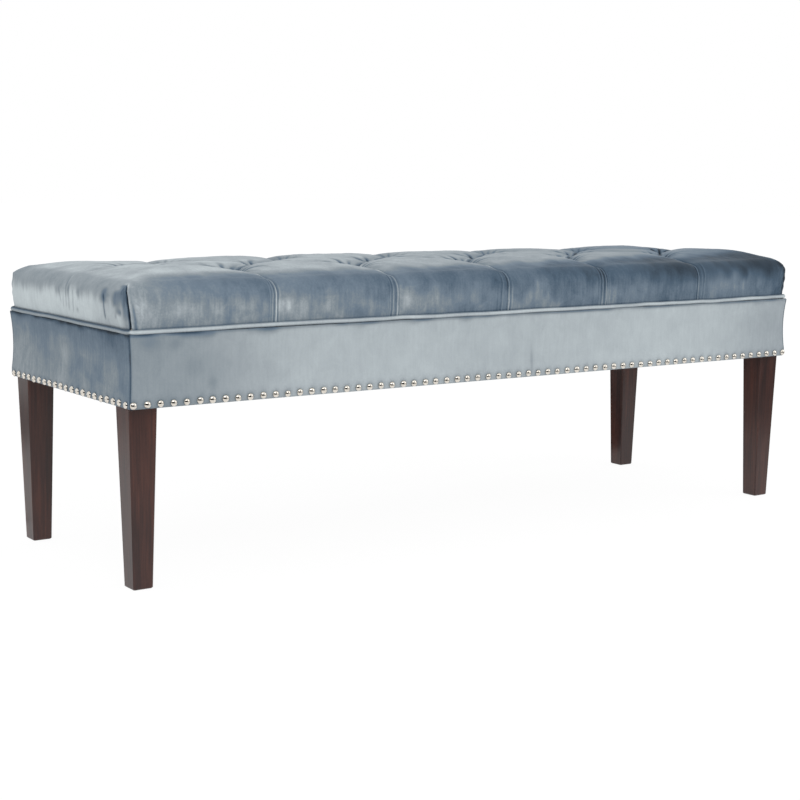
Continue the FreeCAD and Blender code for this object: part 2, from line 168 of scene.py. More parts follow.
def ringFaces(first, rings, sides):
    # round a dome whose points stand in rings from its foot up
    return [(a + k, a + (k + 1) % sides, a + sides + (k + 1) % sides, a + sides + k)
            for a in range(first, first + (rings - 1) * sides, sides) for k in range(sides)]


def seat(piece, node):
    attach(piece, "root")
    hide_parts(node)


def crushedVelvet():
    # polyester velvet, brushed by hand: one dye, whose pile looks pale or dark by the way it lies, with painted shade
    # and highlights laid into that tone
    look = {"stops": [(0.0, "#29343f"), (0.25, "#4f6274"), (0.5, "#748493"), (0.62, "#8a959d"), (0.75, "#a4adb3"),
                      (1.0, "#dae4e7")],
            "shader": {"Roughness": 0.82, "Specular IOR Level": 0.15, "Sheen Weight": 0.26, "Sheen Roughness": 0.35,
                       "Sheen Tint": linearColour("#dde6ec")},
            "patches": 0.50, "streaks": 0.29, "flecks": 0.18, "relief": 0.25, "depth": 0.0004}
    material, tree, shader = newMaterial("crushedVelvet")
    place = addNode(tree, "TexCoord").outputs["Object"]
    napAndShade, brush = [addNode(tree, "Attribute", {"attribute_name": mark}).outputs["Fac"] for mark in ("napAndShade", "brush")]
    # 35 mm patches where a hand has turned the pile
    wide = {"Scale": 28.0, "Detail": 4.0, "Roughness": 0.62, "Distortion": 0.6}
    patches = addNode(tree, "TexNoise", None, wide, {"Vector": place}).outputs["Fac"]
    # brush marks 4 to 5 mm wide and 40 mm long that run down the sides
    along = addNode(tree, "Mapping", None, {"Scale": (210.0, 210.0, 26.0)}, {"Vector": place}).outputs["Vector"]
    long = {"Scale": 1.0, "Detail": 3.0, "Roughness": 0.6}
    streaks = addNode(tree, "TexNoise", None, long, {"Vector": along}).outputs["Fac"]
    # 3 mm flecks, coarser than the pile's own tufts so that they show
    fine = {"Scale": 330.0, "Detail": 2.0, "Roughness": 0.6}
    flecks = addNode(tree, "TexNoise", None, fine, {"Vector": place}).outputs["Fac"]
    turned = None
    for pattern, key in ((patches, "patches"), (streaks, "streaks"), (flecks, "flecks")):
        centred = addNode(tree, "Math", {"operation": "SUBTRACT"}, {1: 0.5}, {0: pattern}).outputs[0]
        part = addNode(tree, "Math", {"operation": "MULTIPLY"}, {1: look[key]}, {0: centred}).outputs[0]
        turned = addNode(tree, "Math", None, None, {0: turned, 1: part}).outputs[0] if turned else part
    # the pile's tone here carries painted shade and highlights as well as the lay of the pile
    tone = addNode(tree, "Math", {"operation": "MULTIPLY_ADD"}, None, {0: turned, 1: brush, 2: napAndShade}).outputs[0]
    # the pile itself, drawn at 1 mm
    fibres = addNode(tree, "TexNoise", None, {"Scale": 900.0, "Detail": 2.0}, {"Vector": place}).outputs["Fac"]
    finishSurface(tree, shader, tone, look["stops"], fibres, look["relief"], look["depth"], look["shader"])
    return material


def stainedHardwood():
    # rubberwood stained espresso under satin lacquer: red-brown grain that shows where light hits it
    look = {"stops": [(0.30, "#1f0e0b"), (0.46, "#371b16"), (0.60, "#4b281f"), (0.75, "#603428")],
            "shader": {"Roughness": 0.38, "Specular IOR Level": 0.38, "Coat Weight": 0.25, "Coat Roughness": 0.2},
            "relief": 0.12, "depth": 0.0003}
    material, tree, shader = newMaterial("espressoStainedHardwood")
    place = addNode(tree, "TexCoord").outputs["Object"]
    # grain lines 3 to 4 mm apart that run down the leg, on a 20 mm figure
    along = addNode(tree, "Mapping", None, {"Scale": (260.0, 260.0, 9.0)}, {"Vector": place}).outputs["Vector"]
    lines = {"Scale": 1.0, "Detail": 5.0, "Roughness": 0.6, "Distortion": 0.4}
    grain = addNode(tree, "TexNoise", None, lines, {"Vector": along}).outputs["Fac"]
    wide = addNode(tree, "Mapping", None, {"Scale": (45.0, 45.0, 5.0)}, {"Vector": place}).outputs["Vector"]
    figure = addNode(tree, "TexNoise", None, {"Scale": 1.0, "Detail": 3.0}, {"Vector": wide}).outputs["Fac"]
    half = addNode(tree, "Math", {"operation": "MULTIPLY"}, {1: 0.5}, {0: grain}).outputs[0]
    mixed = addNode(tree, "Math", {"operation": "MULTIPLY_ADD"}, {1: 0.5}, {0: figure, 2: half}).outputs[0]
    finishSurface(tree, shader, mixed, look["stops"], grain, look["relief"], look["depth"], look["shader"])
    return material


def noisyMaterial(name, dark, light, scale, roughness, metallic=0.0, relief=0.1, stretch=(1.0, 1.0, 1.0), scratch=0.0):
    # a noise between two tones at a real size; what each stands for is said where it is used
    material, tree, shader = newMaterial(name)
    place = addNode(tree, "TexCoord").outputs["Object"]
    size = tuple(scale * s for s in stretch)
    scaled = addNode(tree, "Mapping", None, {"Scale": size}, {"Vector": place}).outputs["Vector"]
    detail = {"Scale": 1.0, "Detail": 4.0, "Roughness": 0.6}
    noise = addNode(tree, "TexNoise", None, detail, {"Vector": scaled}).outputs["Fac"]
    spread = {"To Min": roughness - scratch, "To Max": roughness + scratch}
    rough = addNode(tree, "MapRange", None, spread, {"Value": noise})
    tree.links.new(rough.outputs["Result"], shader.inputs["Roughness"])
    finishSurface(tree, shader, noise, [(0.35, dark), (0.65, light)], noise, relief, 0.0003, {"Metallic": metallic})
    return material


velvet = crushedVelvet()
legWood = stainedHardwood()
# warm bright plating
polishedNickel = noisyMaterial("polishedNickelPlate", "#cfc8bd", "#e6e1d8", 400, 0.14, 1.0, 0.02, scratch=0.05)
# dull bright plating
zincSteel = noisyMaterial("zincPlatedSteel", "#9ea2a3", "#c4c8c9", 600, 0.32, 1.0, scratch=0.06)
# 11 mm face grain along the bench
birchPlywood = noisyMaterial("birchPlywood", "#c9a877", "#dfc498", 90, 0.6, stretch=(0.15, 1, 1))
# 9 mm growth rings
sawnPine = noisyMaterial("sawnPine", "#c79f68", "#e0c08a", 110, 0.65, stretch=(0.1, 1, 1))
# open cells, drawn at 1.4 mm
foam = noisyMaterial("polyurethaneFoam", "#d9d2b0", "#ece6c8", 700, 0.95, relief=0.6)
# 4 mm tufts of fibre
wadding = noisyMaterial("polyesterWadding", "#dcdedd", "#f1f2f0", 260, 0.97, relief=0.9)
# twist, drawn at 1 mm
waxedTwine = noisyMaterial("waxedNylonTwine", "#b9a98a", "#d6c9ac", 900, 0.7, relief=0.5)
# nonwoven cloth with a faint grain
blackCambric = noisyMaterial("blackCambric", "#141416", "#232326", 900, 0.92, relief=0.4, stretch=(1, 0.35, 1))
print("materials made")


# seat cover: one cloth, laid out flat, rolled over the edges and pushed out into puffs
cover = {"flatX": 660.0, "flatY": 202.0, "topZ": 452.0, "roll": 24.0, "side": 41.4, "drawIn": 2.6,
         "step": 2.3, "fineStepX": 1.0, "fineWidthX": 22, "fineEnds": (14, 52), "fineStepY": 1.6, "fineWidthY": 50,
         "fineSides": 40, "sags": ((0.8, 62, 5, 1), (0.35, 17, 6, 1), (0.16, 7, 7, 1)), "calm": 0.6, "calmRun": 15,
         "hemX": 0.992, "hemY": 0.975}
# corners: the roll is drawn out into a slope with an edge under it, less on the right, and pulled up to a point
corner = {"square": 2.5, "squarer": 6, "squareAt": (0, 24), "width": 28, "rightShare": 0.3, "edgeAt": 0.72,
          "slopeDrop": 0.34, "slopeReach": 0.90, "hollow": 2.6, "hollowWidth": 30, "hollowAt": (4, 24),
          "peak": 2.5, "peakAcross": -3, "peakWidth": 15, "peakAt": 20, "peakRun": 11}
# tufts, how far the creases lean sideways on their way over the edge, and the pits
tufts = {"pitch": 228.3, "row": 113.0, "frontLean": (17, 12, 10, -2, -6), "backLean": (-10, -6, -16, -24, -26),
         "pitDrop": 3.5, "pitWidth": 13, "pitShade": 0.18, "shadeWidth": 14}

columns = [(i - 2) * tufts["pitch"] for i in range(5)]
middleColumns = [(i - 2.5) * tufts["pitch"] for i in range(6)]
tuftPlaces = [(x, y) for y in (-tufts["row"], tufts["row"]) for x in columns] + [(x, 0.0) for x in middleColumns]
rollRun = cover["roll"] * math.pi / 2
seamRun = rollRun + cover["side"]


def layCloth():
    # where each point of the flat cloth lies on the plain upholstered block
    flatX, flatY, roll = cover["flatX"], cover["flatY"], cover["roll"]
    fineX = [x + lean / 2 for x, lean in zip(columns, tufts["frontLean"])] + middleColumns
    fineX += [side * (flatX + place) for side in (-1, 1) for place in cover["fineEnds"]]
    fineY = [side * (flatY + cover["fineSides"]) for side in (-1, 1)]
    us = stations(flatX + seamRun, cover["step"], cover["fineStepX"], cover["fineWidthX"], fineX)
    vs = stations(flatY + seamRun, cover["step"], cover["fineStepY"], cover["fineWidthY"], fineY)
    u, v = np.meshgrid(us, vs, indexing="ij")
    ax, ay = np.abs(u) - flatX, np.abs(v) - flatY
    cx, cy = np.maximum(ax, 0), np.maximum(ay, 0)
    rho = np.maximum(cx, cy)  # run of the cloth past the flat top
    ratio = np.minimum(cx, cy) / np.maximum(rho, 1e-9)
    angle = np.where(cx >= cy, ratio, 2 - ratio) * math.pi / 4
    dirX, dirY = np.cos(angle), np.sin(angle)
    squareness = corner["square"] + corner["squarer"] * softStep(*corner["squareAt"], rho)  # mitred, not round
    norm = (dirX ** squareness + dirY ** squareness) ** (1 / squareness)
    turn = np.minimum(rho / roll, math.pi / 2)
    down = np.maximum(rho - rollRun, 0)
    rolledReach, rolledDrop = roll * np.sin(turn), roll * (1 - np.cos(turn))
    inFromCorner = np.maximum(-np.minimum(ax, ay), 0)
    aside = rolledReach * (1 - ratio) + inFromCorner
    pointed = np.exp(-(aside / corner["width"]) ** 2) * np.where(u < 0, 1.0, corner["rightShare"])
    share = rho / rollRun
    slope = np.clip(share / corner["edgeAt"], 0, 1)
    under = np.clip((share - corner["edgeAt"]) / (1 - corner["edgeAt"]), 0, 1)
    slopeDrop = roll * (corner["slopeDrop"] * slope + (1 - corner["slopeDrop"]) * under)
    slopeReach = roll * (corner["slopeReach"] * slope + (1 - corner["slopeReach"]) * under)
    reach = blend(rolledReach, slopeReach, pointed) - cover["drawIn"] * (down / cover["side"]) ** 2
    hollow = corner["hollow"] * np.exp(-(rho * (1 - ratio) / corner["hollowWidth"]) ** 2)
    reach -= hollow * softStep(*corner["hollowAt"], rho) * (cx > 0) * (cy > 0)
    nx, ny = dirX * np.sign(u), dirY * np.sign(v)
    x = np.where(ax > 0, flatX * np.sign(u), u) + reach / norm * nx
    y = np.where(ay > 0, flatY * np.sign(v), v) + reach / norm * ny
    z = cover["topZ"] - blend(rolledDrop, slopeDrop, pointed) - down
    normal = np.stack([np.sin(turn) * nx, np.sin(turn) * ny, np.cos(turn)], -1)
    inside = np.minimum(-ax, -ay)  # inwards from the border of the flat top, minus outwards
    across = np.where(ay > ax, 1, -1) * (reach * (1 - ratio) + inFromCorner)  # from the corner, plus on the long side
    return SimpleNamespace(u=u, v=v, ax=ax, ay=ay, rho=rho, down=down, inside=inside, across=across,
                           base=np.stack([x, y, z], -1), normal=normal)


# folds: how far they pull the puffs down, and across them rows of (height or painted shade and highlight, place, width)
pull = {"reach": 9, "rounding": 1.4, "slack": 0.8, "wobble": ((1.1, 38, 3, 1), (0.5, 13, 4, 1))}
diagonal = {"ends": (7, 22), "height": ((-1.5, 0, 1.9), (1.0, 4, 2.2), (-0.5, 8, 2.0)),
            "tone": ((-0.50, 0, 2.8), (0.10, 5.5, 2.6))}
crease = {"start": (34, 62), "leanAt": (-10, 55), "wobble": 0.8, "contrast": (0.85, 1.1),
          "height": ((1.3, 0, 1.3), (-1.1, -3.1, 1.5), (-0.88, 2.9, 1.4)),
          "tone": ((0.34, 0, 1.3), (-0.11, -3.1, 1.5), (-0.088, 2.9, 1.4))}
fineFold = {"run": 24, "sway": 1.2, "swayCell": 30, "height": ((1.0, 0, 1.2), (-0.9, -2.6, 1.3)),
            "tone": ((0.30, 0, 1.1), (-0.15, -2.6, 1.3))}
endPleat = {"pull": 0.8, "pullEnd": (70, 110), "start": (5, 25), "end": (92, 126), "swing": 6, "swingAt": (60, 120),
            "lap": 3.2, "lapEdge": (3, -4), "lapWidth": 46, "height": ((-1.8, 2.5, 2.2),),
            "tone": ((-0.50, 2.2, 2.0), (0.10, -4, 4))}
# fine folds beside each front crease: distance from it, strength, and how far from the tuft they start
sideFolds = (((-6, 0.5, 70), (-10, 0.3, 95), (5.5, 0.45, 90)),
             ((-9, 0.8, 75), (-14, 0.3, 100), (5, 0.25, 110)),
             ((-14, 0.55, 95), (-22, 0.3, 120), (6, 0.5, 110)),
             ((-9, 0.85, 80), (-16, 0.45, 95), (5, 0.45, 90), (9, 0.3, 100)),
             ((14, 0.45, 85), (8, 0.3, 100), (-6, 0.3, 100)))


def nearFold(side, beyond):
    # 1 on a fold, less and less beside it and past its end
    return np.exp(-np.sqrt(side ** 2 + beyond ** 2 + pull["rounding"]) / pull["reach"])


def foldLines(cloth):
    # how near each point is to the folds, and the height of the folds themselves with their painted shade and
    # highlights
    u, v = cloth.u, cloth.v
    wobble = waver(u, v, pull["wobble"])
    gathered, height, tone = np.zeros((3, *u.shape))
    random = np.random.default_rng(11)
    for tx, ty in tuftPlaces[:10]:
        for hand in (-1, 1):  # diagonals to the two nearest tufts of the middle row
            ex, ey = hand * tufts["pitch"] / 2, -ty
            length = math.hypot(ex, ey)
            along = ((u - tx) * ex + (v - ty) * ey) / length
            side = ((u - tx) * ey - (v - ty) * ex) / length
            gathered += nearFold(side, np.clip(-along, 0, None) + np.clip(along - length, 0, None))
            mask = softStep(*diagonal["ends"], along) * softStep(*diagonal["ends"], length - along)
            s = (side + wobble) * random.choice((-1, 1))
            height += mask * ridgeLines(s, diagonal["height"])
            tone += mask * ridgeLines(s, diagonal["tone"])
        order = columns.index(tx)
        lean = tufts["frontLean" if ty < 0 else "backLean"][order]
        along = v * math.copysign(1, ty) - abs(ty)  # straight crease over the long edge
        side = u - tx - lean * softStep(*crease["leanAt"], along)
        gathered += nearFold(side, np.clip(-along, 0, None))
        s = side + crease["wobble"] * wobble
        mask = softStep(*crease["start"], along)
        height += mask * ridgeLines(s, crease["height"])
        # painted highlight on each crease's ridge and painted shade in the grooves beside it; the other folds get the
        # same
        tone += mask * random.uniform(*crease["contrast"]) * ridgeLines(s, crease["tone"])
        for place, strength, start in sideFolds[order]:
            low = softStep(start, start + fineFold["run"], along) * strength
            s = side - place + fineFold["sway"] * drift(u, v, fineFold["swayCell"], 300 + int(place) + order)
            height += low * ridgeLines(s, fineFold["height"])
            tone += low * ridgeLines(s, fineFold["tone"])
    for hand in (-1, 1):  # a lapped pleat to each end
        along = hand * u - middleColumns[-1]
        pulled = endPleat["pull"] * (1 - softStep(*endPleat["pullEnd"], along))
        gathered += pulled * nearFold(v, np.clip(-along, 0, None))
        mask = softStep(*endPleat["start"], along) * (1 - softStep(*endPleat["end"], along))
        s = v + wobble + endPleat["swing"] * softStep(*endPleat["swingAt"], along)
        lap = endPleat["lap"] * softStep(*endPleat["lapEdge"], s) * bump(s, endPleat["lapWidth"])
        height += mask * (lap + ridgeLines(s, endPleat["height"]))
        tone += mask * ridgeLines(s, endPleat["tone"])
    return gathered, height, tone


# slender folds that run out of each pit, strongest away from the puff in front
comb = {"count": 13, "bend": 1.3, "bendCell": 24, "swirl": 0.03, "run": 38, "runVaries": 14, "weakSide": 0.15,
        "towards": 0.9, "strongFrom": (-0.1, 0.6), "from": (5, 12), "backRow": 0.3, "depth": 4.0, "shade": 1.05}


def tuftMarks(cloth):
    # distance to the nearest tuft, the slender folds round it and the pit
    u, v = cloth.u, cloth.v
    away = np.full_like(u, np.inf)
    slits, pits = np.zeros((2, *u.shape))
    random = np.random.default_rng(17)
    for index, (tx, ty) in enumerate(tuftPlaces):
        near = np.hypot(u - tx, v - ty)
        away = np.minimum(away, near)
        bearing = np.arctan2(v - ty, u - tx)
        swirl = bearing * (comb["count"] + index % 3) + random.uniform(0, 6)
        swirl = swirl + comb["bend"] * drift(u, v, comb["bendCell"], 30 + index) + near * comb["swirl"]
        fold = np.round(swirl / (2 * math.pi))
        run = comb["run"] + comb["runVaries"] * drift(fold * 10, near * 0 + index * 7, 7, 5)
        strong = blend(comb["weakSide"], 1, softStep(*comb["strongFrom"], np.cos(bearing - comb["towards"])))
        teeth = (0.5 + 0.5 * np.cos(swirl)) ** 3 * strong * (comb["backRow"] if ty > 0 else 1)
        slits = np.maximum(slits, teeth * bump(near, run) * softStep(*comb["from"], near))
        pits -= tufts["pitDrop"] * bump(near, tufts["pitWidth"])
    return away, slits, pits


# puffs: heights of their crests over tufts, pleats and edges, and how far in from the edge they rise
puff = {"frontCrest": 21.0, "backCrest": 16.3, "frontRun": 112.0, "backRun": 92.0, "runStart": 22, "edgeCrest": 3.6,
        "sideCrest": 1.0, "sideAt": (-45, 0), "backAt": (-70, 70), "shoulder": 34, "moreShoulder": 34, "moreAt": (-15, 60),
        "pleat": -6.0, "pleatLift": 13.0, "liftWidth": 30, "edgePleat": -1.5, "pleatAt": (0, 45), "fillAt": (-30, 15),
        "flatHem": 22, "hemShare": 0.75}
# puffs that were stuffed less or more than the rest: x, y, height and width
fills = ((-520, 140, -3.0, 60), (400, 140, -3.0, 55), (622, -155, 3.5, 55), (676, -125, 7.5, 46))


def puffHeight(cloth, gathered, tuftAway):
    # a quarter circle up from each fold, full in the middle, lower over the edges
    u, v, inside = cloth.u, cloth.v, cloth.inside
    distance = np.maximum(-pull["reach"] * np.log(gathered + 1e-12) - pull["slack"], 0)
    share = np.clip(distance / (puff["shoulder"] + puff["moreShoulder"] * softStep(*puff["moreAt"], inside)), 0, 1)
    rounding = np.sqrt(1 - (1 - share) ** 2)
    back = softStep(*puff["backAt"], v)  # the front row is stuffed fuller
    crest, run = [blend(puff["front" + key], puff["back" + key], back) for key in ("Crest", "Run")]
    rise = np.sin(math.pi / 2 * np.clip((inside + puff["runStart"]) / run, 0, 1)) ** 2
    high = blend(puff["sideCrest"], puff["edgeCrest"], softStep(*puff["sideAt"], inside))
    high += (crest - puff["edgeCrest"]) * rise
    low = puff["pleat"] + puff["pleatLift"] * (1 - bump(tuftAway, puff["liftWidth"]))
    low = blend(puff["edgePleat"], low, softStep(*puff["pleatAt"], inside))
    swell = blend(low, high, rounding)
    for x, y, height, width in fills:
        swell += height * bump(u - x, width) * bump(v - y, width) * softStep(*puff["fillAt"], inside) * rounding
    swell += corner["peak"] * bump(cloth.across - corner["peakAcross"], corner["peakWidth"]) * bump(
        cloth.rho - corner["peakAt"], corner["peakRun"])
    atHem = softStep(cover["side"] - puff["flatHem"], cover["side"], cloth.down)
    return swell * (1 - puff["hemShare"] * atHem), distance


# sewn dart at each corner: it starts beside the corner, on the end at the front and on the long side at the back
dart = {"start": 14, "shift": 12, "shiftRun": 20, "sewnFrom": (11, 17),
        "height": ((-4.5, 0, 1.5), (1.0, 3.2, 2), (0.8, -3.4, 2.2)), "tone": ((-1.1, 0, 1.4), (0.14, 3.4, 1.8)),
        "pucker": 0.6, "puckerAcross": 0.5, "puckerDown": 0.40, "puckerAt": 12, "puckerWidth": 22, "puckerFrom": (16, 30),
        "puckerTo": (60, 75), "wedgeAt": 6.5, "wedgeLean": 0.05, "wedgeTop": 30, "wedgeFrom": (34, 44),
        "wedgeShade": ((-0.15, 0, 1.5),), "besideHighlight": ((0.06, 5, 3.5),), "glint": 0.22, "glintWidth": 8, "glintAt": 15,
        "glintRun": 7, "frontShade": 0.40, "backShade": 0.06, "shadeAt": -6, "shadeWidth": 12, "shadeFade": (50, 70)}


def cornerDart(cloth):
    # height of the dart with its puckers, its painted shade and highlights, and the distance from it
    rho, v = cloth.rho, cloth.v
    shift = dart["shift"] * np.exp(-np.clip(rho - dart["start"], 0, None) / dart["shiftRun"])
    fromDart = cloth.across - np.sign(v) * shift
    sewn = softStep(*dart["sewnFrom"], rho)
    wave = fromDart * dart["puckerAcross"] - rho * dart["puckerDown"] + 2 * drift(cloth.u, v, 30, 8)
    pucker = dart["pucker"] * np.sin(wave) * bump(fromDart - dart["puckerAt"], dart["puckerWidth"])
    pucker *= softStep(*dart["puckerFrom"], rho) * (1 - softStep(*dart["puckerTo"], rho))
    height = sewn * ridgeLines(fromDart, dart["height"]) + pucker
    wedge = fromDart - dart["wedgeAt"] - dart["wedgeLean"] * (rho - dart["wedgeTop"])
    wedgeShade = ridgeLines(wedge, dart["wedgeShade"]) * softStep(*dart["wedgeFrom"], rho)
    # painted shade in the seam and along a fold line beside it, painted highlights on their edges; below, a painted
    # glint at the dart's top
    tone = sewn * (ridgeLines(fromDart, dart["tone"]) + wedgeShade + ridgeLines(wedge, dart["besideHighlight"]))
    tone += dart["glint"] * bump(fromDart, dart["glintWidth"]) * bump(rho - dart["glintAt"], dart["glintRun"])
    shade = np.where(v < 0, dart["frontShade"], dart["backShade"]) * bump(fromDart - dart["shadeAt"], dart["shadeWidth"])
    tone -= sewn * shade * (1 - 0.5 * softStep(*dart["shadeFade"], rho)) * (fromDart < 0)
    return height, tone, fromDart


# marks pressed into the left end, darkened with painted shade: y at top and bottom, run along the cloth, width, painted
# shade, depth
endMarks = ((22, 16, 28, 58, 1.7, -0.13, 0.6), (8, 5, 24, 66, 1.5, -0.17, 0.9), (-4, -6, 28, 64, 1.6, -0.14, 0.7),
            (-14, -15, 22, 68, 2.0, -0.16, 0.8), (-33, -29, 26, 70, 1.6, -0.18, 0.9), (-52, -50, 26, 48, 3.0, -0.10, 0.5),
            (-138, -147, 26, 70, 2.0, -0.42, 1.4), (-143, -143, 18, 46, 8.0, -0.26, 0.8),
            (-181, -179, 20, 50, 6.0, -0.24, 0.9), (-160, -158, 26, 36, 6.0, -0.16, 0.3),
            (-192, -190, 20, 60, 10.0, -0.26, 0.4), (-156, -154, 62, 72, 2.5, -0.20, 0.4),
            (-181, -181, 54, 66, 3.5, -0.24, 0.4), (-196, -196, 46, 62, 6.0, -0.24, 0.5),
            (-44, -44, 54, 68, 4.0, -0.22, 0.5), (134, 134, 56, 64, 4.0, -0.12, 0.3))
markEnds = {"fade": 9, "sway": 2.2, "swayCell": 24, "toneWidth": 1.1}


def leftEndMarks(cloth):
    v, rho, fade = cloth.v, cloth.rho, markEnds["fade"]
    height, tone = np.zeros((2, *v.shape))
    onEnd = (cloth.u < -cover["flatX"]) & (cloth.ax > cloth.ay)
    for order, (top, bottom, start, end, width, dark, deep) in enumerate(endMarks):
        t = np.clip((rho - start) / (end - start), 0, 1)
        s = v - blend(top, bottom, t) + markEnds["sway"] * drift(v, rho, markEnds["swayCell"], 90 + order)
        mask = softStep(start, start + fade, rho) * (1 - softStep(end - fade, end, rho)) * onEnd
        height -= deep * bump(s, width) * mask
        # painted shade along each mark
        tone += dark * bump(s, width * markEnds["toneWidth"]) * mask
    return height, tone


# tone of the pile, 0 dark to 1 pale, partly its own lay and partly painted light: a pale painted sheen on top, painted
# shade on the roll, and each puff painted lit on its left and shaded towards its right; along the bench on top, roll
# and side, then what varies it
pile = {"top": ((-684, 0.84), (-400, 0.81), (-100, 0.77), (250, 0.70), (450, 0.62), (570, 0.46), (684, 0.20)),
        "roll": ((-684, 0.56), (-610, 0.49), (-520, 0.40), (-340, 0.43), (-115, 0.35), (115, 0.26), (340, 0.18),
                 (500, 0.12), (684, 0.05)),
        "side": ((-684, 0.55), (-520, 0.58), (-340, 0.62), (-115, 0.51), (115, 0.49), (340, 0.46), (500, 0.44),
                 (620, 0.40), (684, 0.22)),
        "topClouds": ((0.04, 70, 12, 1.6), (0.03, 24, 25, 2)), "foldShade": 0.12, "foldWidth": 26,
        "sideClouds": ((0.09, 46, 13, 0.7), (0.07, 19, 34, 0.8), (0.05, 8, 16, 0.4)), "rollShare": 0.5,
        "end": 690, "puffLitSide": 0.06, "puffShadeAcross": 0.13, "border": ((5, 40, 18, 0), (2, 12, 19, 0), (5, 22, 26, 1)),
        "sideAt": (-16, -56), "topAt": (4, 46), "topBorder": ((5, 60, 20, 0),), "backMore": 12, "rightLess": 16,
        "lessAt": (0, 500), "hem": 0.24, "endHem": 0.50, "hemAt": 5, "hemEnd": 1, "endHemEnd": 1.5}
# on the ends a dull band turns into a pale side by uneven streaks
endPile = {"leftBand": 0.69, "rightBand": 0.36, "leftSide": 0.93, "leftFade": 0.05, "fadeAt": (-50, -120),
           "rightSide": 0.52, "clouds": ((0.03, 50, 15, 1),), "streaks": ((6, 9, 21, 0), (5, 26, 22, 0), (3, 4, 23, 0)),
           "sideAt": (-26, -48), "topBorder": ((5, 40, 24, 0),), "topAt": (-12, 16)}


def pileToneAndLight(cloth, distance):
    # tone of the pile with painted light and shade in it, as if every side were a front, and as if every side were an
    # end
    u, v, inside = cloth.u, cloth.v, cloth.inside
    top = tableAt(u, pile["top"]) + waver(u, v, pile["topClouds"])
    top -= pile["foldShade"] * (1 - softStep(0, pile["foldWidth"], distance))
    creases = [-pile["end"]] + [x + lean for x, lean in zip(columns, tufts["frontLean"])] + [pile["end"]]
    onPuff = np.zeros_like(u)  # from one crease to the next
    for start, end in zip(creases[:-1], creases[1:]):
        onPuff = np.where((u >= start) & (u < end), (u - start) / (end - start), onPuff)
    # painted light on the left of each puff, painted shade towards its right
    lean = pile["puffLitSide"] - pile["puffShadeAcross"] * onPuff
    clouds = waver(u, v, pile["sideClouds"])
    rolled = tableAt(u, pile["roll"]) + lean + pile["rollShare"] * clouds
    upright = tableAt(u, pile["side"]) + lean + clouds
    border = inside + waver(u, v, pile["border"])
    front = blend(rolled, upright, softStep(*pile["sideAt"], border))
    border = border + waver(u, v, pile["topBorder"]) + pile["backMore"] * (v > 0)
    border -= pile["rightLess"] * softStep(*pile["lessAt"], u) * (v < 0)
    front = blend(front, top, softStep(*pile["topAt"], border))
    # painted shadow along the bottom of the sides, where the seat meets the piping
    hemStart = cover["side"] - pile["hemAt"]
    front -= pile["hem"] * softStep(hemStart, cover["side"] - pile["hemEnd"], cloth.down)
    left = u < 0
    band = np.where(left, endPile["leftBand"], endPile["rightBand"])
    fading = endPile["leftFade"] * softStep(*endPile["fadeAt"], v)
    pale = np.where(left, endPile["leftSide"] - fading, endPile["rightSide"]) + waver(u, v, endPile["clouds"])
    end = blend(band, pale, softStep(*endPile["sideAt"], inside + waver(v, v, endPile["streaks"])))
    end = blend(end, top, softStep(*endPile["topAt"], inside + waver(v, v, endPile["topBorder"])))
    # the same painted shadow above the piping on the ends
    end -= pile["endHem"] * softStep(hemStart, cover["side"] - pile["endHemEnd"], cloth.down)
    return front, end


# how strongly the pile is brushed on top, over the edges, and less so at the right end of the top
brushed = {"top": 0.45, "longSides": 0.40, "ends": -0.10, "overEdge": (5, 40), "rightLess": 0.50, "rightAt": (150, 560),
           "sideAt": (34, 56)}
# from front to end the pile turns slowly on top and at once at the dart; the right corners are darker
turning = {"dartAt": (8, 24), "slow": 26, "sooner": 24.5, "soonerAt": (5, 24), "rightCornerDark": 0.25, "rightCornerWidth": 7, "rightCornerAt": (10, 25)}


